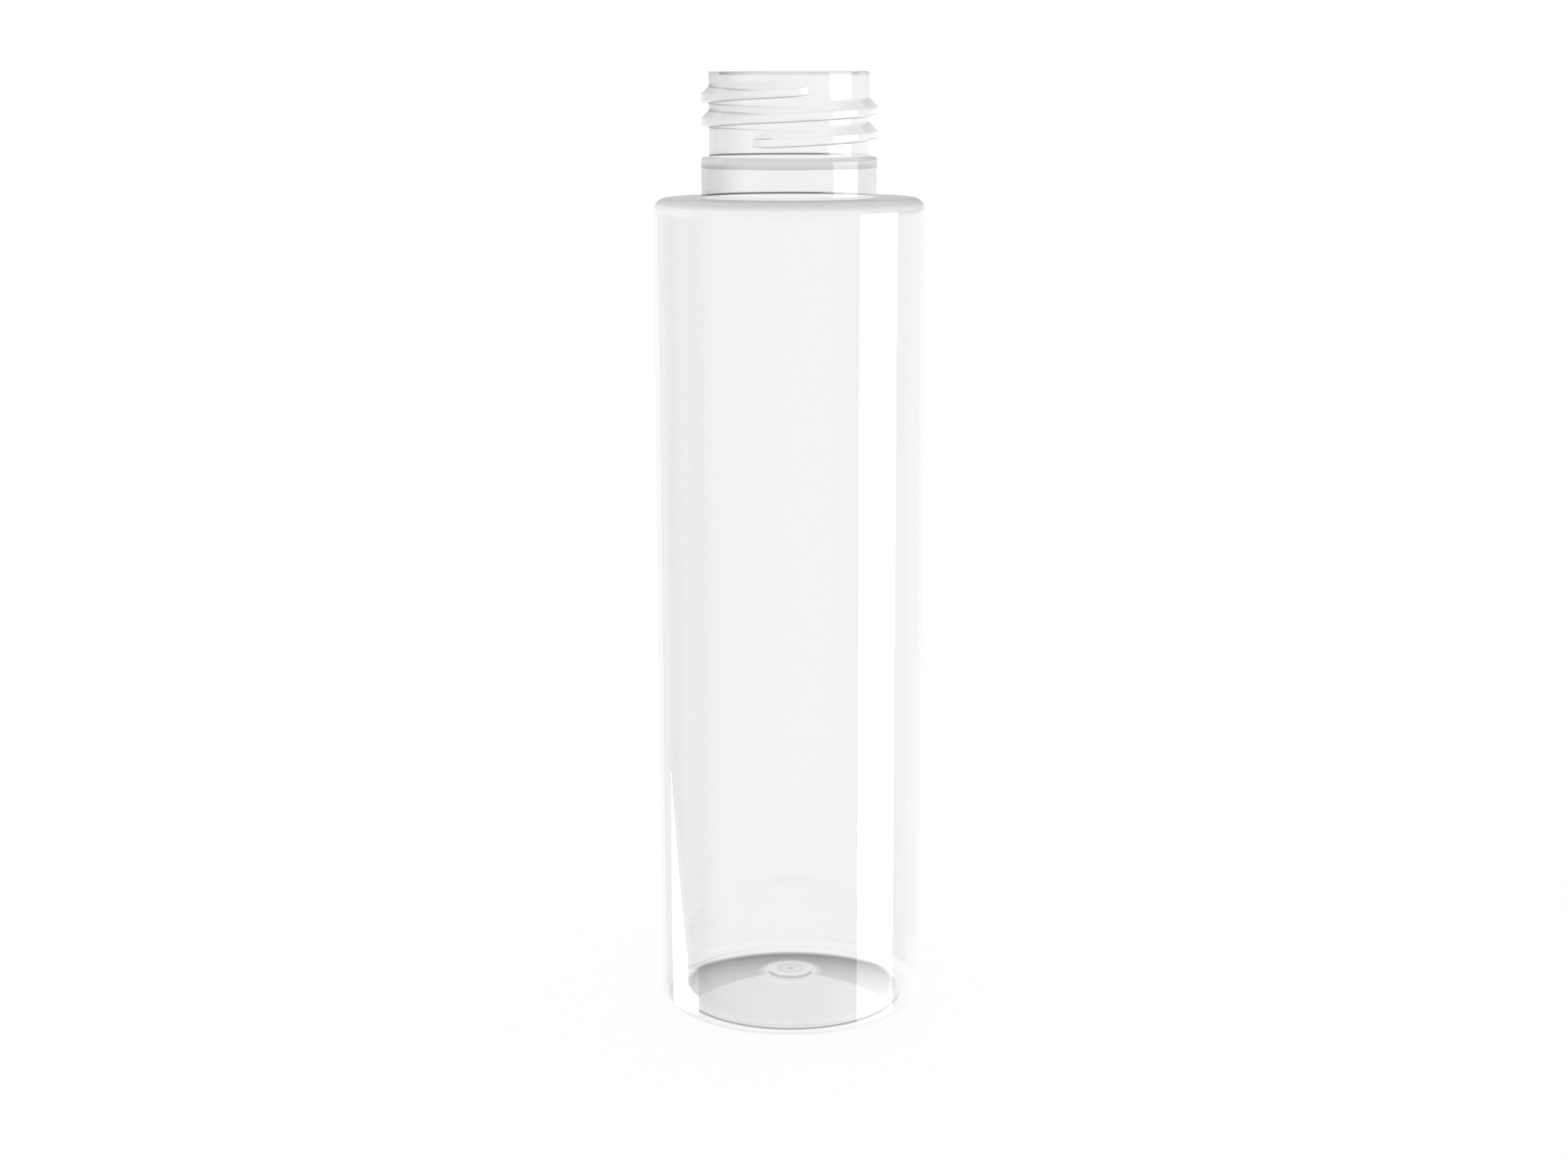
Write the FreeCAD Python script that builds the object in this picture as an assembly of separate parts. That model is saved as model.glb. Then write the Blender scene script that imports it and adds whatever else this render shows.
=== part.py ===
"""Slim clear bottle with a 24 mm threaded neck, blown in one piece.

The frame stands on the bottle's foot: the origin is the middle of the standing plane,
+Z runs up through the mouth and -Y is the front. Lengths are millimetres, angles degrees.
"""

import FreeCAD
import Part

import math
import os

# Overall form
total_height = 129.3
body_diameter = 36.8

# Neck, measured downwards from the rim
neck_diameter = 21.5
neck_wall = 1.4
neck_height = 11.15
rim_chamfer = 0.3

# Thread: one start, right-handed, steep above and nearly flat below
thread_height = 1.1
thread_pitch = 3.175
thread_turns = 2.11
thread_crest = 0.95
upper_flank_angle = 45.0
lower_flank_angle = 8.0
thread_end_drop = 3.0
thread_end_angle = -76.3
run_out_length = 3.1

# Collar under the thread
collar_step = 1.1
collar_height = 5.4
collar_wall = 0.9
collar_edge_radius = 0.68
collar_roof_slope = 20.0

# Shoulder and body
shoulder_slope = 1.0
shoulder_radius = 1.8
shoulder_wall = 0.75
body_wall = 0.6

# Foot: a flat standing ring round a shallow pushed-up dome
heel_radius = 1.1
inner_heel_radius = 2.0
standing_ring_width = 1.8
push_up = 2.2
floor_wall = 0.75

# Mark that the moulding gate leaves in the middle of the floor
pad_diameter = 6.2
pad_height = 0.2
gate_ring_diameter = 3.5
gate_ring_depth = 0.12
gate_nub_diameter = 0.9
gate_nub_height = 0.25

# How the shapes are joined
thread_sink = 0.3 * neck_wall
run_out_margin = 0.1
fade_step = 1.8
turn_step = 11.0
most_of_run = 0.98

# Radii that follow from the sizes above
body_radius = body_diameter / 2
neck_radius = neck_diameter / 2
thread_radius = neck_radius + thread_height
collar_radius = neck_radius + collar_step
bore_radius = neck_radius - neck_wall
collar_bore = collar_radius - collar_wall
body_bore = body_radius - body_wall
dome_edge = body_radius - heel_radius - standing_ring_width

# Heights that follow from the sizes above
collar_top = total_height - neck_height
shoulder_top = collar_top - collar_height

# The underside of the dome is part of a sphere about this point of the axis
dome_radius = (dome_edge**2 + push_up**2) / (2 * push_up)
dome_centre = push_up - dome_radius


def slope_drop(run, angle):
    """How far a surface falls over a run when it slopes at an angle."""
    return run * math.tan(math.radians(angle))


def turn_between(before, corner, after):
    """The angle by which an outline turns at a corner, in radians."""
    heading_in = math.atan2(corner[1] - before[1], corner[0] - before[0])
    heading_out = math.atan2(after[1] - corner[1], after[0] - corner[0])
    turn = abs(heading_out - heading_in)
    return min(turn, 2 * math.pi - turn)


def tangent_lengths(corners):
    """How much of its two runs each corner's rounding takes, limited to what they have."""
    lengths = [0.0] * len(corners)
    for i in range(1, len(corners) - 1):
        turn = turn_between(corners[i - 1], corners[i], corners[i + 1])
        lengths[i] = corners[i][2] * math.tan(turn / 2)
    shares = [1.0] * len(corners)
    for i in range(len(corners) - 1):
        run = math.dist(corners[i][:2], corners[i + 1][:2])
        wanted = lengths[i] + lengths[i + 1]
        if wanted > most_of_run * run:
            share = most_of_run * run / wanted
            shares[i] = min(shares[i], share)
            shares[i + 1] = min(shares[i + 1], share)
    return [length * share for length, share in zip(lengths, shares)]


def toward(start, end, distance):
    """The point that lies a distance from start on the way to end."""
    share = distance / math.dist(start[:2], end[:2])
    return (start[0] + share * (end[0] - start[0]), start[1] + share * (end[1] - start[1]))


def in_section(point):
    """A radius and a height as a point of the XZ plane."""
    return FreeCAD.Vector(point[0], 0, point[1])


def rounding_points(before, corner, after, tangent):
    """Five points along the arc that rounds a corner, its ends among them."""
    turn = turn_between(before, corner, after)
    radius = tangent / math.tan(turn / 2)
    start = toward(corner, before, tangent)
    end = toward(corner, after, tangent)
    chord_middle = ((start[0] + end[0]) / 2, (start[1] + end[1]) / 2)
    centre = toward(corner, chord_middle, radius / math.cos(turn / 2))
    points = []
    for share in (0.0, 0.25, 0.5, 0.75, 1.0):
        from_start = math.sin((1 - share) * turn) / math.sin(turn)
        from_end = math.sin(share * turn) / math.sin(turn)
        points.append((
            centre[0] + from_start * (start[0] - centre[0]) + from_end * (end[0] - centre[0]),
            centre[1] + from_start * (start[1] - centre[1]) + from_end * (end[1] - centre[1]),
        ))
    return points


def rounded_outline(corners):
    """Straight runs from corner to corner, each corner rounded by its own radius.

    A corner is (radius from the axis, height, rounding). The ends have no rounding.
    Each rounding is drawn as two arcs, which keeps the facets of its surface few.
    """
    tangents = tangent_lengths(corners)
    edges = []
    here = corners[0]
    for i in range(1, len(corners)):
        there = corners[i]
        if tangents[i] > 0:
            points = rounding_points(corners[i - 1], corners[i], corners[i + 1], tangents[i])
            first, second, middle, fourth, last = [in_section(point) for point in points]
            edges.append(Part.LineSegment(in_section(here), first).toShape())
            edges.append(Part.Arc(first, second, middle).toShape())
            edges.append(Part.Arc(middle, fourth, last).toShape())
            here = points[-1]
        else:
            edges.append(Part.LineSegment(in_section(here), in_section(there)).toShape())
            here = there
    return edges


def dome_height(sphere_radius, radius):
    """The height of a sphere about the dome's centre, at a radius from the axis."""
    return dome_centre + math.sqrt(sphere_radius**2 - radius**2)


def dome_arc(sphere_radius, start, end):
    """The arc that a sphere about the dome's centre makes between two radii."""
    points = [
        in_section((radius, dome_height(sphere_radius, radius)))
        for radius in (start, (start + end) / 2, end)
    ]
    return [Part.Arc(*points).toShape()]


def underside():
    """The gate mark and the dome, from the axis out to the standing ring."""
    nub_radius = gate_nub_diameter / 2
    ring_radius = gate_ring_diameter / 2
    ring_top = push_up + gate_ring_depth
    mark = rounded_outline([
        (0, push_up - gate_nub_height, 0),
        (nub_radius, push_up - gate_nub_height, 0),
        (nub_radius, ring_top, 0),
        (ring_radius, ring_top, 0),
        (ring_radius, dome_height(dome_radius, ring_radius), 0),
    ])
    return mark + dome_arc(dome_radius, ring_radius, dome_edge)


def outside():
    """Standing ring, heel, body, shoulder, collar and neck, up to the mouth."""
    shoulder_edge = shoulder_top - slope_drop(body_radius - collar_radius, shoulder_slope)
    return rounded_outline([
        (dome_edge, 0, 0),
        (body_radius, 0, heel_radius),
        (body_radius, shoulder_edge, shoulder_radius),
        (collar_radius, shoulder_top, 0),
        (collar_radius, collar_top, collar_edge_radius),
        (neck_radius, collar_top, 0),
        (neck_radius, total_height, 0),
        (bore_radius + rim_chamfer, total_height, 0),
        (bore_radius, total_height - rim_chamfer, 0),
    ])


def inside(floor_edge):
    """Bore, collar, shoulder and body wall, down to the edge of the floor's dome."""
    collar_roof = collar_top - collar_wall
    collar_roof_edge = collar_roof - slope_drop(collar_bore - bore_radius, collar_roof_slope)
    shoulder_roof = shoulder_top - shoulder_wall
    roof_chamfer = shoulder_radius - body_wall
    shoulder_edge = shoulder_roof - slope_drop(body_bore - collar_bore, shoulder_slope)
    return rounded_outline([
        (bore_radius, total_height - rim_chamfer, 0),
        (bore_radius, collar_roof, 0),
        (collar_bore, collar_roof_edge, 0),
        (collar_bore, shoulder_roof, 0),
        (body_bore - roof_chamfer, shoulder_edge, 0),
        (body_bore, shoulder_edge - roof_chamfer, 0),
        (body_bore, floor_wall, inner_heel_radius),
        (floor_edge, floor_wall, 0),
    ])


def floor(floor_edge):
    """The floor's dome and the thicker pad at its middle, from the edge in to the axis."""
    sphere_radius = dome_radius + floor_wall
    pad_radius = pad_diameter / 2
    pad_top = push_up + floor_wall + pad_height
    pad = rounded_outline([
        (pad_radius, dome_height(sphere_radius, pad_radius), 0),
        (pad_radius, pad_top, 0),
        (0, pad_top, 0),
    ])
    return dome_arc(sphere_radius, floor_edge, pad_radius) + pad


def blown_wall():
    """The whole wall turned about the axis, without the thread."""
    sphere_radius = dome_radius + floor_wall
    floor_edge = math.sqrt(sphere_radius**2 - (floor_wall - dome_centre) ** 2)
    edges = underside() + outside() + inside(floor_edge) + floor(floor_edge)
    bottom = in_section((0, push_up - gate_nub_height))
    top = in_section((0, push_up + floor_wall + pad_height))
    edges.append(Part.LineSegment(top, bottom).toShape())
    section = Part.Face(Part.Wire(edges))
    return section.revolve(FreeCAD.Vector(0, 0, 0), FreeCAD.Vector(0, 0, 1), 360)


def thread_depth(from_end):
    """How far the crest stands out of the neck, at a distance along the thread from its end.

    Each end rises out of the neck on an arc that is tangent to the full crest.
    """
    if from_end >= run_out_length:
        return thread_height
    arc_radius = (run_out_length**2 + thread_height**2) / (2 * thread_height)
    before_full = run_out_length - from_end
    return thread_height - arc_radius + math.sqrt(arc_radius**2 - before_full**2)


def thread_section(below_end, depth):
    """The thread's cross-section, at an angle below its upper end, as a closed wire."""
    angle = math.radians(thread_end_angle - below_end)
    lower_edge = total_height - thread_end_drop - thread_pitch * below_end / 360
    upper_edge = lower_edge + thread_crest
    root = neck_radius - thread_sink
    crest = neck_radius + depth
    lower_root = lower_edge - slope_drop(crest - root, lower_flank_angle)
    upper_root = upper_edge + slope_drop(crest - root, upper_flank_angle)
    corners = [(root, lower_root), (crest, lower_edge), (crest, upper_edge), (root, upper_root)]
    points = [
        FreeCAD.Vector(radius * math.cos(angle), radius * math.sin(angle), height)
        for radius, height in corners
    ]
    return Part.makePolygon(points + points[:1])


def stations(first, last, step):
    """Evenly spaced values from first to last, no further apart than the step."""
    count = max(2, math.ceil((last - first) / step))
    return [first + (last - first) * i / count for i in range(count + 1)]


def thread():
    """The single thread, lofted round the neck from one run-out to the other."""
    degrees_per_mm = 360 / (2 * math.pi * thread_radius)
    whole = 360 * thread_turns
    fade = run_out_length * degrees_per_mm
    margin = run_out_margin * degrees_per_mm
    upper_fade = stations(-margin, fade, fade_step)
    full_depth = stations(fade, whole - fade, turn_step)
    lower_fade = stations(whole - fade, whole + margin, fade_step)
    sections = []
    for below_end in upper_fade + full_depth[1:] + lower_fade[1:]:
        from_end = min(below_end, whole - below_end) / degrees_per_mm
        sections.append(thread_section(below_end, thread_depth(from_end)))
    return Part.makeLoft(sections, True, False)


def bottle():
    """The finished bottle as one solid."""
    return blown_wall().fuse(thread()).Solids[0]


os.makedirs("parts", exist_ok=True)
bottle().exportStep("parts/bottle.step")
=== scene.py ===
"""Clear PET bottle with a threaded neck, dressed for a photograph on a white ground.

The bottle is one closed mesh. Its plastic is a thin mixture of clear and mirroring, and marks
on the mesh's points hold painted shade, in lines and bands at creases, edges, the collar, the
dome and the sides, and a painted strength of the mirror image.
"""

import math

import bmesh
import bpy
from mathutils import Matrix


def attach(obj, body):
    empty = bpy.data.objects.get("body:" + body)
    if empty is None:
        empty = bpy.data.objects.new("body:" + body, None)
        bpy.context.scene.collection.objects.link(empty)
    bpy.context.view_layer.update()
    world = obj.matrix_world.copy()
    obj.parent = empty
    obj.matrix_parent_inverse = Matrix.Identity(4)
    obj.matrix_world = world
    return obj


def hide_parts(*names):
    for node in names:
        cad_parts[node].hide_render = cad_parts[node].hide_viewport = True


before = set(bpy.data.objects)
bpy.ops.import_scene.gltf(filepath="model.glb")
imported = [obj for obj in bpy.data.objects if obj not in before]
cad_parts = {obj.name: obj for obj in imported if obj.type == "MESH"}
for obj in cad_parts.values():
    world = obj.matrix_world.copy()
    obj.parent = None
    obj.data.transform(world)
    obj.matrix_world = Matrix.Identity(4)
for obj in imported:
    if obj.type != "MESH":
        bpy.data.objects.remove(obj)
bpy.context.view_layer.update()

MM = 0.001

# Sizes of the bottle in millimetres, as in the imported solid
TOTAL_HEIGHT = 129.3
NECK_HEIGHT = 11.15
COLLAR_HEIGHT = 5.4
BODY_RADIUS = 18.4
COLLAR_RADIUS = 11.85
NECK_RADIUS = 10.75
NECK_WALL = 1.4
COLLAR_WALL = 0.9
SHOULDER_WALL = 0.75
BODY_WALL = 0.6
FLOOR_WALL = 0.75
PUSH_UP = 2.2
DOME_EDGE = 15.5

COLLAR_TOP = TOTAL_HEIGHT - NECK_HEIGHT
SHOULDER_TOP = COLLAR_TOP - COLLAR_HEIGHT
BORE_RADIUS = NECK_RADIUS - NECK_WALL
COLLAR_BORE = COLLAR_RADIUS - COLLAR_WALL
BODY_BORE = BODY_RADIUS - BODY_WALL

# How far the shoulder, its inner side and the collar's roof fall on their way out
SHOULDER_FALL = 0.06
INNER_SHOULDER_FALL = 0.12
COLLAR_ROOF_FALL = 0.58

# Gate mark under the floor, a nub in a ring, and the pad on top of the floor
NUB_RADIUS = 0.45
NUB_HEIGHT = 0.25
RING_RADIUS = 1.75
RING_DEPTH = 0.12
PAD_FOOT_RADIUS = 3.3
PAD_RADIUS = 2.7
PAD_TOP = PUSH_UP + FLOOR_WALL + 0.2

# Thread: one right-handed start with a run-out at each end
THREAD_HEIGHT = 1.1
THREAD_RADIUS = NECK_RADIUS + THREAD_HEIGHT
PITCH = 3.175
TURNS = 2.11
CREST = 0.95
UPPER_FLANK = 45.0
LOWER_FLANK = 8.0
END_DROP = 3.0
END_ANGLE = -76.3
RUN_OUT = 3.1

# Roundings of the outside, from the gate mark up to the rim
GATE_ROUND = 0.1
RING_EDGE_ROUND = 0.05
DOME_EDGE_ROUND = 2.0
HEEL_ROUND = 1.1
SHOULDER_ROUND = 1.8
COLLAR_FOOT_ROUND = 0.3
COLLAR_EDGE_ROUND = 0.68
NECK_FOOT_ROUND = 0.2
RIM_ROUND = 0.12

# Roundings of the inside, from the mouth down to the pad
MOUTH_ROUND = 0.3
COLLAR_ROOF_ROUND = 0.6
COLLAR_ROOF_EDGE_ROUND = 0.5
COLLAR_BORE_ROUND = 0.4
INNER_SHOULDER_ROUND = 1.2
INNER_HEEL_ROUND = 2.0
FLOOR_EDGE_ROUND = 1.2
PAD_ROUND = 0.6

# Roundings of the thread
LOWER_ROOT_ROUND = 0.2
CREST_ROUND = 0.2
UPPER_ROOT_ROUND = 0.45

# How the mesh is laid out: the passes count the thread's turns down from its upper end, with
# spare ones past both ends, and a flat run next to a rounding gets a row close to it
COLUMNS = 256
PASSES = range(6, -3, -1)
ARC_STEP = 7.5
SUPPORT = 0.12
MOST_OF_RUN = 0.49
DOME_ROWS = 10
FLOOR_ROWS = 9
PLAIN_NECK = 0.6
ROOT_RUN = 0.5
MARK_FADE = 0.08
SPARE_DROP = 0.2
FLAT = 1e-6
SHARP_ANGLE = 32
MERGE_DISTANCE = 2e-7
SLIVER = 1e-8

# The height on the collar's outside at which a painted shade line stands for the edge of its roof
# showing through, and the one above which the inside counts as the neck's bore
COLLAR_ROOF = COLLAR_TOP - 1.49
LINE_WIDTH = 0.02
BORE_FOOT = SHOULDER_TOP - 2.15

# The marks on each point, all of them painted light. All are levels, and a level list holds
# (place, level) stops with straight runs between them. The first two are painted shade on a face
# seen from outside and from within, the third is a painted strength of the mirror image, and the
# last two are painted shade that shows at some angles to the view.
MARKS = ("near_painted_shade", "far_painted_shade", "painted_mirror", "sideways_shade", "edge")

# Painted shade by height on the outer face: bands and lines at the shoulder, the collar's roof
# edge, the collar and the rim
NEAR_PAINTED_SHADE = [
    (SHOULDER_TOP - 1.45, 0.0), (SHOULDER_TOP - 1.15, 0.06), (SHOULDER_TOP - 0.85, 0.2),
    (SHOULDER_TOP - 0.55, 0.31), (SHOULDER_TOP - 0.01, 0.33), (SHOULDER_TOP + 0.05, 0.1),
    (SHOULDER_TOP + 0.33, 0.12), (SHOULDER_TOP + 0.42, 0.0),
    (COLLAR_ROOF - LINE_WIDTH, 0.0), (COLLAR_ROOF + LINE_WIDTH, 0.36),
    (COLLAR_ROOF + 0.34, 0.28), (COLLAR_ROOF + 0.74, 0.24),
    (COLLAR_TOP - 0.05, 0.24), (COLLAR_TOP + 0.05, 0.0),
    (TOTAL_HEIGHT - 1.0, 0.0), (TOTAL_HEIGHT - 0.65, 0.05), (TOTAL_HEIGHT - 0.3, 0.1),
]
# Painted shade lines at the shoulder's and the collar's creases, on the face seen from within
FAR_PAINTED_SHADE = [
    (SHOULDER_TOP - 0.05, 0.0), (SHOULDER_TOP + 0.01, 0.8), (SHOULDER_TOP + 0.2, 0.8),
    (SHOULDER_TOP + 0.35, 0.0),
    (COLLAR_TOP - 0.03, 0.0), (COLLAR_TOP + 0.01, 0.75), (COLLAR_TOP + 0.2, 0.75),
    (COLLAR_TOP + 0.3, 0.0),
]

# Painted strength of the outer face's mirror image, weaker at the shoulder's and collar's
# creases, and painted shade toward the sides of the collar and neck, by height
PAINTED_MIRROR = [
    (SHOULDER_TOP - 1.75, 1.0), (SHOULDER_TOP - 0.95, 0.35), (SHOULDER_TOP + 0.2, 0.35),
    (SHOULDER_TOP + 0.35, 1.0),
    (COLLAR_TOP - 0.05, 1.0), (COLLAR_TOP + 0.01, 0.4), (COLLAR_TOP + 0.15, 0.4),
    (COLLAR_TOP + 0.25, 1.0),
]
SIDEWAYS_SHADE = [
    (SHOULDER_TOP + 0.05, 0.0), (SHOULDER_TOP + 0.35, 1.15),
    (COLLAR_ROOF - 0.06, 1.15), (COLLAR_ROOF + 0.64, 0.0),
    (COLLAR_TOP + 0.05, 0.0), (COLLAR_TOP + 0.25, 0.8), (COLLAR_TOP + 1.35, 0.7),
    (COLLAR_TOP + 4.35, 0.7), (COLLAR_TOP + 6.35, 0.8),
]

# The underside up to a height, by radius: painted shade, a weak painted mirror image, and a
# painted shade line at the dome's edge
UNDERSIDE_TOP = PUSH_UP + 0.2
UNDERSIDE_SHADE = [(2.0, 0.0), (5.0, 0.1), (15.3, 0.1), (15.6, 0.0), (17.0, 0.0), (17.3, 0.15),
             (17.6, 0.0)]
UNDERSIDE_PAINTED_MIRROR = 0.05
DOME_SHADE_LINE = [(15.15, 0.0), (15.35, 0.6), (15.7, 0.6), (15.85, 0.0)]

# The floor's upper face up to a height, by radius: painted shade rings at the gate mark, whose
# radii also place the pad's rows, the painted strength of the mirror image, and a painted shade
# line round the pad
FLOOR_TOP = PUSH_UP + 1.2
FLOOR_EDGE = DOME_EDGE + 0.2
GATE_MARK_SHADE = [(0.35, 0.2), (0.55, 0.0), (1.4, 0.0), (1.6, 0.1), (1.8, 0.0)]
FLOOR_PAINTED_MIRROR = [(2.2, 0.9), (2.6, 0.3), (3.5, 0.3), (4.1, 2.0), (14.8, 2.0), (15.4, 0.15)]
PAD_SHADE_LINE = [(2.7, 0.0), (3.0, 0.4), (3.5, 0.35), (4.2, 0.0)]

# The turn from the floor up to the body's inner wall, with painted shade and a weaker painted
# mirror image
INNER_HEEL_EDGE = BODY_BORE - 0.01
INNER_HEEL_SHADE = 0.03
INNER_HEEL_PAINTED_MIRROR = 0.15

# Painted shade lines on the thread's edges, on the near side and on the far side
CLEAR = (0.0, 0.0)
LOWER_ROOT_SHADE = (0.42, 0.0)
UPPER_CREST_SHADE = 0.08
UPPER_ROOT_SHADE = 0.3

# Painted shade on the upper crest by the thread's lower end, by the distance from that end
LOWER_END_SHADE = [(0.2, 0.0), (0.6, 0.6), (2.6, 0.6), (3.4, 0.0)]

# Levels from left to right, by x in millimetres, which tie painted light to the bottle's sides:
# painted shade on the near side's upper flank, the weight of the sideways painted shade on the
# thread, and the painted mirror image and painted upper root line of the far side's thread
UPPER_FLANK_SHADE = [(5.0, 0.0), (8.5, 0.13), (10.8, 0.13), (11.6, 0.0)]
THREAD_SIDEWAYS_SHADE = [(-11.75, 0.2), (-11.2, 0.9), (10.8, 0.9), (11.6, 0.2)]
STANDS_OUT = 0.05
FAR_THREAD_PAINTED_MIRROR = [(-7.0, 1.0), (1.0, 0.1)]
FAR_ROOT_SHADE = [(-9.0, 1.0), (-7.0, 0.8), (-3.0, 0.0)]

# Levels from left to right that weigh the painted shade and the painted mirror image of the
# whole bottle, so that the left side gets more painted shade than the right
FAR_SHADE_ACROSS = [(4.0, 1.0), (8.0, 0.2)]
SIDEWAYS_SHADE_ACROSS = [(-12.4, 2.1), (-10.5, 1.8), (-9.0, 1.5), (-7.5, 1.25), (-4.0, 1.0), (4.0, 0.4),
                (9.0, 0.75), (12.0, 0.9)]
NECK_FOOT = COLLAR_ROOF + 0.3
NECK_PAINTED_MIRROR = [(-11.8, 0.35), (-10.75, 0.6), (-10.2, 1.0), (10.2, 1.0), (10.75, 0.6),
               (11.8, 0.35)]
BODY_PAINTED_MIRROR = [(-18.4, 0.2), (-18.0, 0.35), (-17.3, 0.6), (-16.5, 0.8), (-15.6, 1.0),
               (16.9, 1.0), (17.6, 0.8), (18.4, 0.35)]

# How much of the sideways painted shade and of the painted edge lines shows, by how far the
# face is turned from the view: 0 is face on and 1 is edge on
SIDEWAYS_SHADE_BY_FACING = [(0.0, 0.0), (0.13, 0.0), (0.37, 0.065), (0.66, 0.08), (0.85, 0.08), (1.0, 0.0)]
EDGE_SHADE_BY_FACING = [(0.0, 1.0), (0.5, 1.0), (0.66, 0.0), (1.0, 0.0)]

# The plastic, and the skin of the blown wall: waves per metre, their depth in metres, and the
# roughness between two levels of the waves
IOR = 1.575
BORE_TONE = 0.966
WAVE_SCALE = 45.0
WAVE_DETAIL = 1.0
WAVE_DEPTH = 0.000012
UNEVEN_FROM, UNEVEN_TO = 0.4, 0.8
UNEVEN_POLISH = 0.03

WHITE = (1, 1, 1, 1)

# What the gloss mirrors of the room, in degrees: round from the front, and by height
GLOSS_AROUND = [
    (-180, 1.0), (-172, 0.95), (-163, 0.6), (-147, 0.7), (-130, 0.25), (-115, 0.05), (-90, 0.0),
    (-60, 0.42), (-40, 0.44), (59, 0.44), (90, 0.5), (105, 1.0), (125, 1.15), (150, 1.1),
    (180, 1.0),
]
GLOSS_UP = [
    (-90, 0.3), (-60, 0.3), (-30, 1.0), (-0.5, 1.0), (1.5, 0.5), (3.2, 0.35), (3.8, 0.0),
    (12, 0.0), (20, 0.1), (32, 0.3), (50, 0.7), (90, 0.8),
]

# The ceiling light behind, by height above its lower edge, which rises to both sides
CEILING = [(21.0, 0.0), (22.5, 0.76), (90, 0.76)]
CEILING_SLOPE = 0.45
CEILING_WIDE = 20.0

# The white ground straight below, by height
GROUND = [(-90, 0.85), (-72, 0.85), (-62, 0.0)]

# The floor, in metres: together its own light and what it scatters are white
FLOOR_RADIUS = 0.14
FLOOR_SINK = 0.00002
FLOOR_SIDES = 96
FLOOR_SCATTER = 0.16
FLOOR_GLOW = 1 - FLOOR_SCATTER

# Light cards in metres: the tall one at the right, and two flat ones on the ground at the left
RIGHT_NEAR, RIGHT_FAR = (0.117, -0.0769), (0.139, 0.0168)
RIGHT_FOOT, RIGHT_TOP = -0.12, 0.135
LEFT_CARD = [(-0.017, -0.008), (-0.016, -0.0134), (-0.0228, -0.0134), (-0.027, -0.0088),
             (-0.0385, -0.0055), (-0.0527, 0.0025), (-0.067, 0.0135), (-0.089, 0.035),
             (-0.114, 0.072), (-0.073, 0.04), (-0.045, 0.0165)]
LEFT_GLOW = [(-0.0228, -0.0134), (-0.034, -0.0134), (-0.034, -0.0064), (-0.027, -0.0088)]
RIGHT_POWER = 4.0
LEFT_POWER = 6.0
LEFT_GLOW_POWER = 1.5
DEEPER_POWER = 0.5

# The camera, in metres, millimetres of film and degrees
CAMERA_PLACE = (-0.00082, -0.3316, 0.12577)
CAMERA_DOWN = 11.395
CAMERA_ROLL = -0.002
CAMERA_LENS = 55.74
CAMERA_FILM = 36
CAMERA_START = 0.01


def level_at(stops, place):
    """A level read from a list of (place, level) stops, straight between them."""
    if place <= stops[0][0]:
        return stops[0][1]
    if place >= stops[-1][0]:
        return stops[-1][1]
    for (low, before), (high, after) in zip(stops, stops[1:]):
        if low <= place <= high:
            return before + (after - before) * (place - low) / (high - low)


def turn_at(before, corner, after):
    """The signed angle by which an outline turns at a corner, in radians."""
    heading_in = math.atan2(corner[1] - before[1], corner[0] - before[0])
    heading_out = math.atan2(after[1] - corner[1], after[0] - corner[0])
    turn = heading_out - heading_in
    return (turn + math.pi) % (2 * math.pi) - math.pi


def away_from(corner, heading, distance):
    """The point at a distance from a corner along a heading."""
    return (corner[0] + heading[0] * distance, corner[1] + heading[1] * distance)


def rounded(corners, steps=None, support=SUPPORT):
    """Points along an outline of corners (r, z, radius), each radius drawn as an arc."""
    out = [corners[0][:2]]
    for before, corner, after in zip(corners, corners[1:], corners[2:]):
        radius = corner[2]
        if radius <= 0:
            out.append(corner[:2])
            continue
        turn = turn_at(before, corner, after)
        run_in = math.dist(before[:2], corner[:2])
        run_out = math.dist(corner[:2], after[:2])
        reach = radius * math.tan(abs(turn) / 2)
        limit = MOST_OF_RUN * min(run_in, run_out)
        if reach > limit:
            radius *= limit / reach
            reach = limit
        back = ((before[0] - corner[0]) / run_in, (before[1] - corner[1]) / run_in)
        onward = ((after[0] - corner[0]) / run_out, (after[1] - corner[1]) / run_out)
        start = away_from(corner, back, reach)
        end = away_from(corner, onward, reach)
        middle = ((back[0] + onward[0]) / 2, (back[1] + onward[1]) / 2)
        centre = away_from(corner, middle, radius / math.cos(turn / 2) / math.hypot(*middle))
        count = steps or max(2, math.ceil(math.degrees(abs(turn)) / ARC_STEP))
        if support and 0.9 * (run_in - reach) > support:
            out.append(away_from(start, back, support))
        first = math.atan2(start[1] - centre[1], start[0] - centre[0])
        for k in range(count + 1):
            angle = first + turn * k / count
            out.append(away_from(centre, (math.cos(angle), math.sin(angle)), radius))
        if support and 0.9 * (run_out - reach) > support:
            out.append(away_from(end, onward, support))
    out.append(corners[-1][:2])
    return out


def dome_points(above, first, last, count):
    """Points of the floor's dome, at a distance above its underside, between two radii."""
    underside = (DOME_EDGE**2 + PUSH_UP**2) / (2 * PUSH_UP)
    centre = PUSH_UP - underside
    radius = underside + above
    return [
        (r, centre + math.sqrt(radius**2 - r**2))
        for r in (first + (last - first) * i / count for i in range(count + 1))
    ]


def dome_top_edge():
    """The radius at which the dome's upper face comes down to the thickness of the floor."""
    underside = (DOME_EDGE**2 + PUSH_UP**2) / (2 * PUSH_UP)
    centre = PUSH_UP - underside
    return math.sqrt((underside + FLOOR_WALL) ** 2 - (FLOOR_WALL - centre) ** 2)


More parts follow.
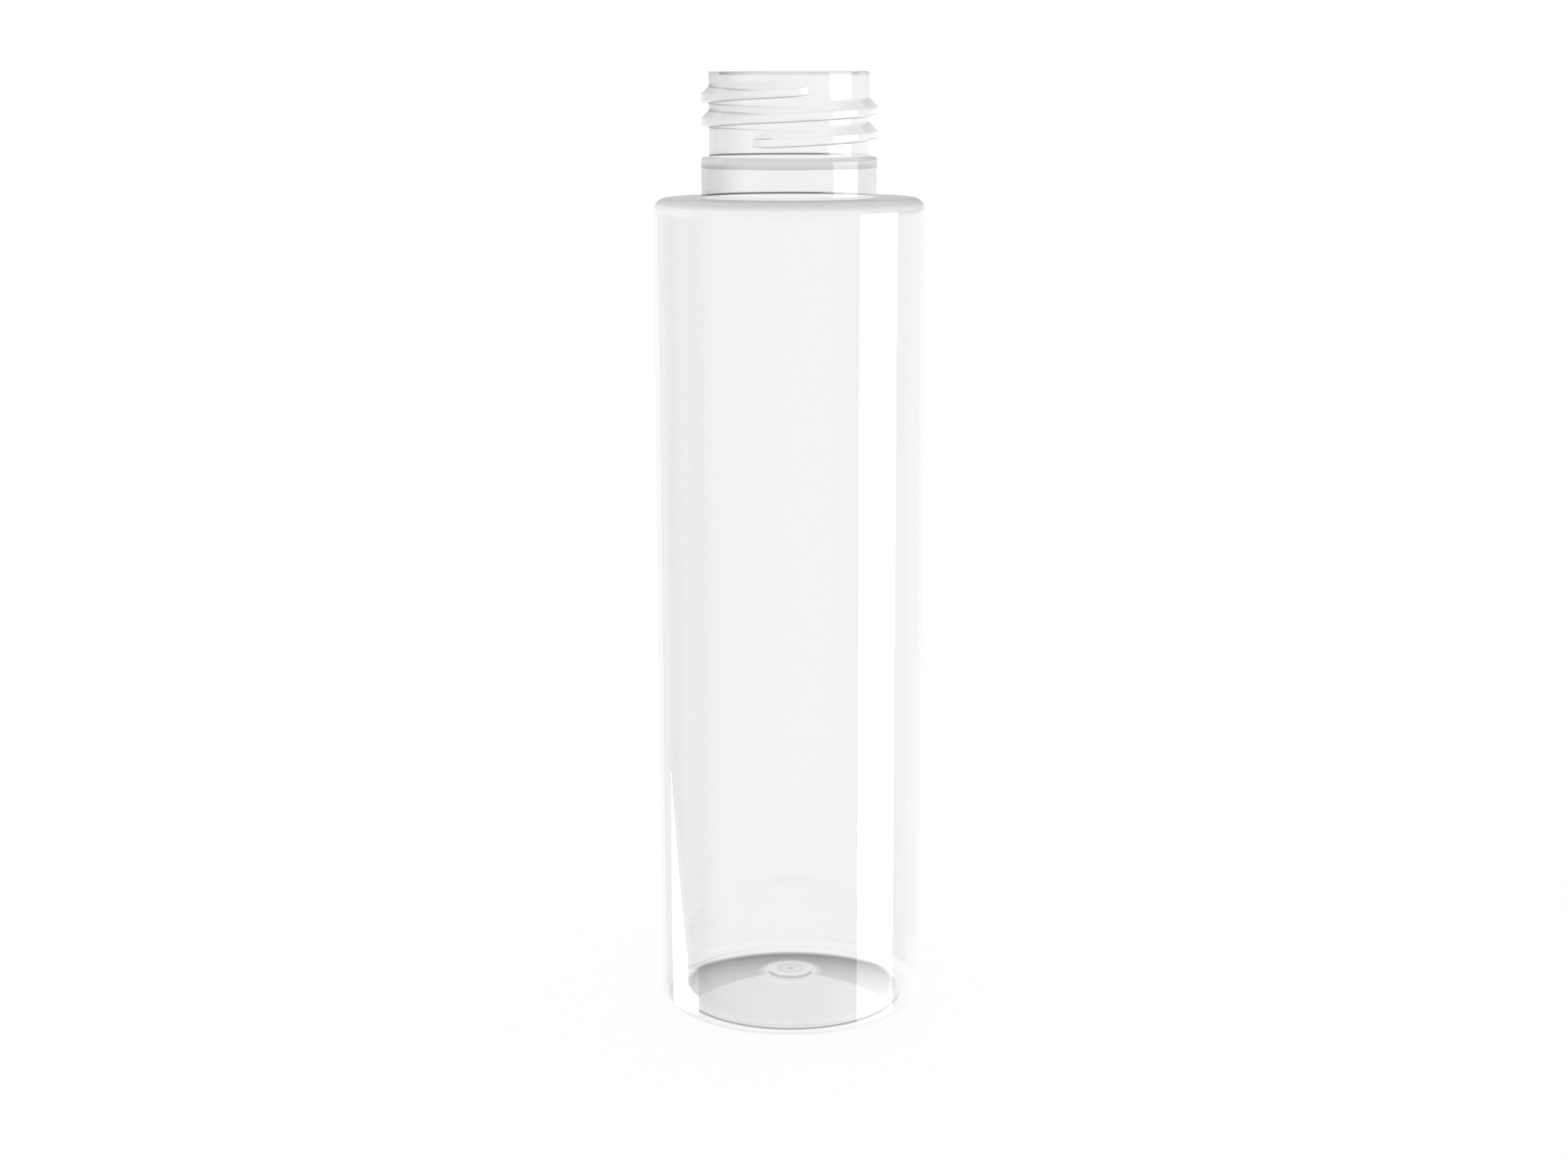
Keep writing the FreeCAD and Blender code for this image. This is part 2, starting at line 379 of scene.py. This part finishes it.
def below_thread():
    """The outline from the gate mark under the base out and up to the foot of the neck."""
    dome = dome_points(0.0, RING_RADIUS, DOME_EDGE, DOME_ROWS)
    ring_top = PUSH_UP + RING_DEPTH
    corners = [
        (0, PUSH_UP - NUB_HEIGHT, 0),
        (NUB_RADIUS, PUSH_UP - NUB_HEIGHT, GATE_ROUND),
        (NUB_RADIUS, ring_top, GATE_ROUND),
        (RING_RADIUS, ring_top, GATE_ROUND),
        (RING_RADIUS, dome[0][1], RING_EDGE_ROUND),
    ]
    corners += [(r, z, 0) for r, z in dome[1:-1]]
    corners += [
        (DOME_EDGE, 0, DOME_EDGE_ROUND),
        (BODY_RADIUS, 0, HEEL_ROUND),
        (BODY_RADIUS, SHOULDER_TOP - SHOULDER_FALL, SHOULDER_ROUND),
        (COLLAR_RADIUS, SHOULDER_TOP, COLLAR_FOOT_ROUND),
        (COLLAR_RADIUS, COLLAR_ROOF - LINE_WIDTH, 0),
        (COLLAR_RADIUS, COLLAR_ROOF + LINE_WIDTH, 0),
        (COLLAR_RADIUS, COLLAR_TOP, COLLAR_EDGE_ROUND),
        (NECK_RADIUS, COLLAR_TOP, NECK_FOOT_ROUND),
        (NECK_RADIUS, COLLAR_TOP + PLAIN_NECK, 0),
    ]
    return rounded(corners)


def above_thread():
    """The outline from the top of the neck over the rim and down inside to the floor's middle."""
    dome = dome_points(FLOOR_WALL, dome_top_edge(), PAD_FOOT_RADIUS, FLOOR_ROWS)
    roof = COLLAR_TOP - COLLAR_WALL
    shoulder = SHOULDER_TOP - SHOULDER_WALL
    corners = [
        (NECK_RADIUS, TOTAL_HEIGHT - PLAIN_NECK, 0),
        (NECK_RADIUS, TOTAL_HEIGHT, RIM_ROUND),
        (BORE_RADIUS, TOTAL_HEIGHT, MOUTH_ROUND),
        (BORE_RADIUS, roof, COLLAR_ROOF_ROUND),
        (COLLAR_BORE, roof - COLLAR_ROOF_FALL, COLLAR_ROOF_EDGE_ROUND),
        (COLLAR_BORE, shoulder, COLLAR_BORE_ROUND),
        (BODY_BORE, shoulder - INNER_SHOULDER_FALL, INNER_SHOULDER_ROUND),
        (BODY_BORE, FLOOR_WALL, INNER_HEEL_ROUND),
        (dome[0][0], dome[0][1], FLOOR_EDGE_ROUND),
    ]
    corners += [(r, z, 0) for r, z in dome[1:-1]]
    corners += [
        (PAD_FOOT_RADIUS, dome[-1][1], PAD_ROUND),
        (PAD_RADIUS, PAD_TOP, PAD_ROUND),
    ]
    corners += [(r, PAD_TOP, 0) for r, painted_shade in reversed(GATE_MARK_SHADE)]
    corners.append((0, PAD_TOP, 0))
    return rounded(corners)


def crest_depth(from_end):
    """How far the crest stands out of the neck at a distance along the thread from its end."""
    if from_end <= 0:
        return 0.0
    if from_end >= RUN_OUT:
        return THREAD_HEIGHT
    arc = (RUN_OUT**2 + THREAD_HEIGHT**2) / (2 * THREAD_HEIGHT)
    return THREAD_HEIGHT - arc + math.sqrt(arc**2 - (RUN_OUT - from_end) ** 2)


def one_pass(lower_edge, depth, crest_shade, flank_shade, root_shade):
    """The thread's outline where it crosses a column, as (r, z, line) from its lower root up,
    line being the painted shade seen from outside and from within.

    The number of points is the same with and without a thread, so that columns can be joined.
    """
    upper_edge = lower_edge + CREST
    crest = NECK_RADIUS + depth
    lower_root = lower_edge - depth * math.tan(math.radians(LOWER_FLANK))
    upper_root = upper_edge + depth * math.tan(math.radians(UPPER_FLANK))
    outline = [
        (NECK_RADIUS, lower_root - ROOT_RUN),
        (NECK_RADIUS, lower_root),
        (crest, lower_edge),
        (crest, upper_edge),
        (NECK_RADIUS, upper_root),
        (NECK_RADIUS, upper_root + ROOT_RUN),
    ]
    # Each corner's rounding, its steps, and the painted shade lines on its first point, within
    # and on its last
    roundings = [
        (LOWER_ROOT_ROUND, 4, (CLEAR, LOWER_ROOT_SHADE, CLEAR)),
        (CREST_ROUND, 5, (CLEAR, CLEAR, CLEAR)),
        (CREST_ROUND, 4, (CLEAR, crest_shade, flank_shade)),
        (UPPER_ROOT_ROUND, 5, (flank_shade, root_shade, CLEAR)),
    ]
    if depth < FLAT:
        count = sum(steps + 1 for radius, steps, lines in roundings) + 2
        first, span = lower_edge - SPARE_DROP, PITCH - CREST
        return [(NECK_RADIUS, first + span * k / count, CLEAR) for k in range(count)]
    share = depth / THREAD_HEIGHT
    points = []
    for i, (radius, steps, (first, within, last)) in enumerate(roundings):
        before, corner, after = outline[i:i + 3]
        arc = rounded([(*before, 0), (*corner, radius * share), (*after, 0)], steps, 0)[1:-1]
        lines = [first] + [within] * (steps - 1) + [last]
        points += [(r, z, line) for (r, z), line in zip(arc, lines)]
    below = (NECK_RADIUS, points[0][1] - MARK_FADE * share, CLEAR)
    above = (NECK_RADIUS, points[-1][1] + MARK_FADE * share, CLEAR)
    return [below] + points + [above]


def neck_rows(angle, bottom, top):
    """The points up one column of the neck with their marks of painted shade and painted mirror
    strength, from every pass of the thread.
    """
    turned = (END_ANGLE - angle) % 360
    across = THREAD_RADIUS * math.cos(math.radians(angle))
    behind = math.sin(math.radians(angle)) > 0
    root_shade = (0.0, UPPER_ROOT_SHADE * level_at(FAR_ROOT_SHADE, across) if behind else 0.0)
    painted_mirror = level_at(FAR_THREAD_PAINTED_MIRROR, across) if behind else 1.0
    rows = []
    for turn in PASSES:
        below_end = turned + 360 * turn
        above_end = 360 * TURNS - below_end
        from_end = min(below_end, above_end) / 360 * 2 * math.pi * THREAD_RADIUS
        lower_edge = TOTAL_HEIGHT - END_DROP - PITCH * below_end / 360
        depth = crest_depth(from_end)
        by_lower_end = level_at(LOWER_END_SHADE, from_end) if above_end < below_end else 0.0
        crest_shade = (max(UPPER_CREST_SHADE, by_lower_end), 0.0)
        flank_shade = (level_at(UPPER_FLANK_SHADE, across) * depth / THREAD_HEIGHT, 0.0)
        rows += one_pass(lower_edge, depth, crest_shade, flank_shade, root_shade)
    points = []
    for r, z, line in rows:
        z = min(max(z, bottom), top)
        sideways_shade = level_at(SIDEWAYS_SHADE, z)
        if r > NECK_RADIUS + STANDS_OUT:
            sideways_shade *= level_at(THREAD_SIDEWAYS_SHADE, across)
        points.append((r, z, (*line, painted_mirror, sideways_shade, 0.0)))
    return points


def outer_marks(outline):
    """The outer outline's points with their marks of painted shade and painted mirror strength.
    """
    points = []
    for r, z in outline:
        sideways_shade = level_at(SIDEWAYS_SHADE, z)
        if z < UNDERSIDE_TOP and r < BODY_RADIUS:
            painted_shade = level_at(UNDERSIDE_SHADE, r)
            marks = (painted_shade, painted_shade, UNDERSIDE_PAINTED_MIRROR, sideways_shade, level_at(DOME_SHADE_LINE, r))
        else:
            lines = (level_at(NEAR_PAINTED_SHADE, z), level_at(FAR_PAINTED_SHADE, z))
            marks = (*lines, level_at(PAINTED_MIRROR, z), sideways_shade, 0.0)
        points.append((r, z, marks))
    return points


def inner_marks(outline):
    """The inner outline's points with their marks of painted shade and painted mirror strength.
    """
    points = []
    for r, z in outline:
        marks = (*CLEAR, 1.0, 0.0, 0.0)
        if z < INNER_HEEL_ROUND and FLOOR_EDGE < r < INNER_HEEL_EDGE:
            marks = (INNER_HEEL_SHADE, INNER_HEEL_SHADE, INNER_HEEL_PAINTED_MIRROR, 0.0, 0.0)
        elif z < FLOOR_TOP and r <= FLOOR_EDGE:
            painted_shade = level_at(GATE_MARK_SHADE, r)
            marks = (painted_shade, painted_shade, level_at(FLOOR_PAINTED_MIRROR, r), 0.0, level_at(PAD_SHADE_LINE, r))
        points.append((r, z, marks))
    return points


def weighed(marks, x, z):
    """A point's painted shade and painted mirror strength, weighed by how far to the left or
    right of the axis it lies.
    """
    near, far, painted_mirror, sideways_shade, edge = marks
    sides = NECK_PAINTED_MIRROR if z > NECK_FOOT else BODY_PAINTED_MIRROR
    far *= level_at(FAR_SHADE_ACROSS, x)
    painted_mirror *= level_at(sides, x)
    sideways_shade *= level_at(SIDEWAYS_SHADE_ACROSS, x)
    return near, far, painted_mirror, sideways_shade, edge


def join(mesh, here, there):
    """Faces between two columns of points."""
    return [
        mesh.faces.new([there[low], here[low], here[low + 1], there[low + 1]])
        for low in range(len(here) - 1)
    ]


def bottle_mesh():
    """The whole wall as one closed mesh: columns of points round the axis, joined into faces.

    The thread climbs by one pass from the last column to the first, so there the neck's points
    are joined one pass further on.
    """
    lower = outer_marks(below_thread())
    outline = above_thread()
    rim = next(i for i, (r, z) in enumerate(outline)
               if r < NECK_RADIUS - 1 and z < TOTAL_HEIGHT - 0.35)
    upper = outer_marks(outline[:rim]) + inner_marks(outline[rim:])
    bottom, top = lower[-1][1], upper[0][1]
    mesh = bmesh.new()
    layers = [mesh.verts.layers.float.new(name) for name in MARKS]
    columns = []
    for i in range(COLUMNS):
        angle = END_ANGLE - 360 * i / COLUMNS
        cos, sin = math.cos(math.radians(angle)), math.sin(math.radians(angle))
        rows = neck_rows(angle, bottom, top)
        column = []
        for r, z, marks in lower + rows + upper:
            point = mesh.verts.new((r * cos * MM, r * sin * MM, z * MM))
            for layer, level in zip(layers, weighed(marks, r * cos, z)):
                point[layer] = level
            column.append(point)
        columns.append(column)
    start = len(lower)
    stop = start + len(rows)
    one_pass_on = len(rows) // len(PASSES)
    for i in range(COLUMNS):
        here, there = columns[i], columns[(i + 1) % COLUMNS]
        shift = one_pass_on if i == COLUMNS - 1 else 0
        join(mesh, here[:start], there[:start])
        join(mesh, [here[start - 1]] + here[start + shift:stop] + [here[stop]],
             [there[start - 1]] + there[start:stop - shift] + [there[stop]])
        inner = join(mesh, here[stop + rim:], there[stop + rim:])
        join(mesh, here[stop:stop + rim + 1], there[stop:stop + rim + 1])
        for face in inner:
            face.material_index = int(face.calc_center_median().z / MM > BORE_FOOT)
    bmesh.ops.remove_doubles(mesh, verts=mesh.verts, dist=MERGE_DISTANCE)
    bmesh.ops.dissolve_degenerate(mesh, edges=mesh.edges, dist=SLIVER)
    bmesh.ops.recalc_face_normals(mesh, faces=mesh.faces)
    return mesh


def bottle():
    """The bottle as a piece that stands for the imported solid."""
    mesh = bottle_mesh()
    data = bpy.data.meshes.new("bottle_wall")
    mesh.to_mesh(data)
    mesh.free()
    piece = bpy.data.objects.new("bottle_wall", data)
    bpy.context.scene.collection.objects.link(piece)
    data.polygons.foreach_set("use_smooth", [True] * len(data.polygons))
    data.set_sharp_from_angle(angle=math.radians(SHARP_ANGLE))
    data.materials.append(clear_pet())
    data.materials.append(clear_bore())
    return piece


def empty_tree(owner):
    """The node tree of a material or a world, emptied."""
    owner.use_nodes = True
    owner.node_tree.nodes.clear()
    return owner.node_tree


def put(tree, socket, value):
    """Links a socket's value to an input, or sets a plain value on it."""
    if isinstance(value, bpy.types.NodeSocket):
        tree.links.new(value, socket)
    else:
        socket.default_value = value


def add(tree, kind, **inputs):
    """A new node. Its inputs are named with a _ for each space."""
    node = tree.nodes.new("ShaderNode" + kind)
    for name, value in inputs.items():
        put(tree, node.inputs[name.replace("_", " ")], value)
    return node


def maths(tree, operation, *values):
    """The result of a Math node on plain values or sockets."""
    node = add(tree, "Math")
    node.operation = operation
    for socket, value in zip(node.inputs, values):
        put(tree, socket, value)
    return node.outputs["Value"]


def ramp(tree, value, low, high, stops):
    """A level list's curve, read at a socket's value, which runs from low to high."""
    place = add(tree, "MapRange", Value=value, From_Min=low, From_Max=high)
    node = add(tree, "ValToRGB", Fac=place.outputs["Result"])
    elements = node.color_ramp.elements
    elements.remove(elements[-1])
    elements[0].position = (stops[0][0] - low) / (high - low)
    elements[0].color = (stops[0][1],) * 3 + (1,)
    for at, level in stops[1:]:
        element = elements.new((at - low) / (high - low))
        element.color = (level,) * 3 + (1,)
    return node.outputs["Color"]


def attribute(tree, name):
    """A mark of the mesh."""
    node = add(tree, "Attribute")
    node.attribute_name = name
    return node.outputs["Fac"]


def mixed(tree, factor, first, second):
    """The output of a Mix Shader node."""
    node = add(tree, "MixShader", Fac=factor)
    put(tree, node.inputs[1], first)
    put(tree, node.inputs[2], second)
    return node.outputs["Shader"]


def less(tree, level, loss):
    """A level of light, less a share of it taken off as painted shade."""
    return maths(tree, "MULTIPLY", level, maths(tree, "SUBTRACT", 1.0, loss))


def clear_pet():
    """Clear PET: both faces alike mirror by their angle to the view, at a painted strength, or
    let light through less the painted shade.
    """
    material = bpy.data.materials.new("clear_pet")
    tree = empty_tree(material)
    side = add(tree, "NewGeometry")
    index = add(tree, "Mix", Factor=side.outputs["Backfacing"], A=IOR, B=1 / IOR)
    fresnel = add(tree, "Fresnel", IOR=index.outputs["Result"])
    amount = maths(tree, "MULTIPLY", fresnel.outputs["Fac"], attribute(tree, "painted_mirror"))
    clear = add(tree, "BsdfTransparent", Color=let_through(tree))
    roughness, normal = blown_skin(tree)
    gloss = add(tree, "BsdfGlossy", Color=WHITE, Roughness=roughness, Normal=normal)
    surface = mixed(tree, amount, clear.outputs["BSDF"], gloss.outputs["BSDF"])
    add(tree, "OutputMaterial", Surface=surface)
    return material


def blown_skin(tree):
    """The blown wall's slightly uneven polish, as roughness, and its faint waves, as a normal."""
    place = add(tree, "TexCoord")
    waves = add(tree, "TexNoise", Vector=place.outputs["Object"], Scale=WAVE_SCALE,
                Detail=WAVE_DETAIL)
    polish = add(tree, "MapRange", Value=waves.outputs["Fac"], From_Min=UNEVEN_FROM,
                 From_Max=UNEVEN_TO, To_Max=UNEVEN_POLISH)
    bump = add(tree, "Bump", Strength=1.0, Distance=WAVE_DEPTH, Height=waves.outputs["Fac"])
    return polish.outputs["Result"], bump.outputs["Normal"]


def let_through(tree):
    """How much light gets through, less the painted shade held in the marks of the mesh."""
    side = add(tree, "NewGeometry")
    painted_shade = add(tree, "Mix", Factor=side.outputs["Backfacing"], A=attribute(tree, "near_painted_shade"),
               B=attribute(tree, "far_painted_shade"))
    level = maths(tree, "SUBTRACT", 1.0, painted_shade.outputs["Result"])
    facing = add(tree, "LayerWeight", Blend=0.5).outputs["Facing"]
    for mark, curve in (("sideways_shade", SIDEWAYS_SHADE_BY_FACING), ("edge", EDGE_SHADE_BY_FACING)):
        shown = ramp(tree, facing, 0.0, 1.0, curve)
        level = less(tree, level, maths(tree, "MULTIPLY", shown, attribute(tree, mark)))
    return level


def clear_bore():
    """The neck's inner wall, which shows no edge of its own inside the thick clear plastic."""
    material = bpy.data.materials.new("clear_pet_bore")
    tree = empty_tree(material)
    facing = add(tree, "LayerWeight", Blend=0.5)
    tone = add(tree, "MapRange", Value=facing.outputs["Facing"], To_Min=BORE_TONE, To_Max=1.0)
    clear = add(tree, "BsdfTransparent", Color=tone.outputs["Result"])
    add(tree, "OutputMaterial", Surface=clear.outputs["BSDF"])
    return material


def floor():
    """A plain pale floor: white to the camera, less the bottle's soft shadow."""
    bpy.ops.mesh.primitive_circle_add(vertices=FLOOR_SIDES, radius=FLOOR_RADIUS,
                                      fill_type="NGON", location=(0, 0, -FLOOR_SINK))
    piece = bpy.context.object
    piece.name = "floor"
    material = bpy.data.materials.new("floor")
    tree = empty_tree(material)
    scattered = add(tree, "BsdfDiffuse", Color=(FLOOR_SCATTER,) * 3 + (1,)).outputs["BSDF"]
    glow = add(tree, "Emission", Color=WHITE, Strength=FLOOR_GLOW)
    both = add(tree, "AddShader")
    put(tree, both.inputs[0], scattered)
    put(tree, both.inputs[1], glow.outputs["Emission"])
    ray = add(tree, "LightPath")
    surface = mixed(tree, ray.outputs["Is Camera Ray"], scattered, both.outputs["Shader"])
    add(tree, "OutputMaterial", Surface=surface)
    piece.data.materials.append(material)
    piece.visible_glossy = False


def room_directions(tree):
    """The direction looked in, in degrees: round from the front, and up from the horizon."""
    place = add(tree, "TexCoord")
    split = add(tree, "SeparateXYZ", Vector=place.outputs["Generated"])
    back = maths(tree, "MULTIPLY", split.outputs["Y"], -1.0)
    azimuth = maths(tree, "DEGREES", maths(tree, "ARCTAN2", split.outputs["X"], back))
    height = maths(tree, "DEGREES", maths(tree, "ARCSINE", split.outputs["Z"]))
    return azimuth, height


def mirrored_room(tree):
    """What the gloss sees: a grey front, a dark band above the horizon, and white behind."""
    azimuth, height = room_directions(tree)
    around = ramp(tree, azimuth, -180, 180, GLOSS_AROUND)
    up = ramp(tree, height, -90, 90, GLOSS_UP)
    aside = maths(tree, "SUBTRACT", 180.0, maths(tree, "ABSOLUTE", azimuth))
    edge = maths(tree, "MULTIPLY", maths(tree, "MINIMUM", aside, CEILING_WIDE), CEILING_SLOPE)
    ceiling = ramp(tree, maths(tree, "SUBTRACT", height, edge), -90, 90, CEILING)
    level = maths(tree, "MULTIPLY", around, maths(tree, "MAXIMUM", up, ceiling))
    return maths(tree, "MAXIMUM", level, ramp(tree, height, -90, 90, GROUND))


def room():
    """The room: a plain white ground, and in the gloss the levels of its surroundings."""
    world = bpy.data.worlds.new("room")
    bpy.context.scene.world = world
    tree = empty_tree(world)
    ray = add(tree, "LightPath")
    level = add(tree, "Mix", Factor=ray.outputs["Is Glossy Ray"], A=1.0, B=mirrored_room(tree))
    background = add(tree, "Background", Color=WHITE, Strength=level.outputs["Result"])
    add(tree, "OutputWorld", Surface=background.outputs["Background"])


def card(name, corners, power):
    """A flat soft light or white card, bright in its first mirror image and plain in others."""
    data = bpy.data.meshes.new(name)
    data.from_pydata(corners, [], [list(range(len(corners)))])
    piece = bpy.data.objects.new(name, data)
    bpy.context.scene.collection.objects.link(piece)
    material = bpy.data.materials.new(name)
    tree = empty_tree(material)
    ray = add(tree, "LightPath")
    passed = maths(tree, "GREATER_THAN", ray.outputs["Transparent Depth"], 0.5)
    bounced = maths(tree, "GREATER_THAN", ray.outputs["Ray Depth"], 1.5)
    deeper = maths(tree, "MULTIPLY", maths(tree, "MAXIMUM", passed, bounced),
                   ray.outputs["Is Glossy Ray"])
    level = add(tree, "Mix", Factor=deeper, A=power, B=DEEPER_POWER)
    glow = add(tree, "Emission", Color=WHITE, Strength=level.outputs["Result"])
    add(tree, "OutputMaterial", Surface=glow.outputs["Emission"])
    data.materials.append(material)
    piece.visible_camera = False
    piece.visible_diffuse = False
    piece.visible_shadow = False


def on_ground(points):
    """Points of the ground as corners of a card."""
    return [(x, y, 0.0) for x, y in points]


def camera():
    """The photograph's view: at the height of the rim, looking slightly down."""
    data = bpy.data.cameras.new("camera")
    data.sensor_width = CAMERA_FILM
    data.lens = CAMERA_LENS
    data.clip_start = CAMERA_START
    piece = bpy.data.objects.new("camera", data)
    bpy.context.scene.collection.objects.link(piece)
    tilt = Matrix.Rotation(math.radians(90 - CAMERA_DOWN), 4, "X")
    roll = Matrix.Rotation(CAMERA_ROLL, 4, "Z")
    piece.matrix_world = Matrix.Translation(CAMERA_PLACE) @ tilt @ roll
    bpy.context.scene.camera = piece


wall = bottle()
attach(wall, "root")
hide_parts("bottle")

floor()
room()
card("right_light", [(*RIGHT_NEAR, RIGHT_FOOT), (*RIGHT_FAR, RIGHT_FOOT),
                     (*RIGHT_FAR, RIGHT_TOP), (*RIGHT_NEAR, RIGHT_TOP)], RIGHT_POWER)
card("left_card", on_ground(LEFT_CARD), LEFT_POWER)
card("left_glow", on_ground(LEFT_GLOW), LEFT_GLOW_POWER)
camera()

bpy.context.scene.view_settings.view_transform = "Standard"
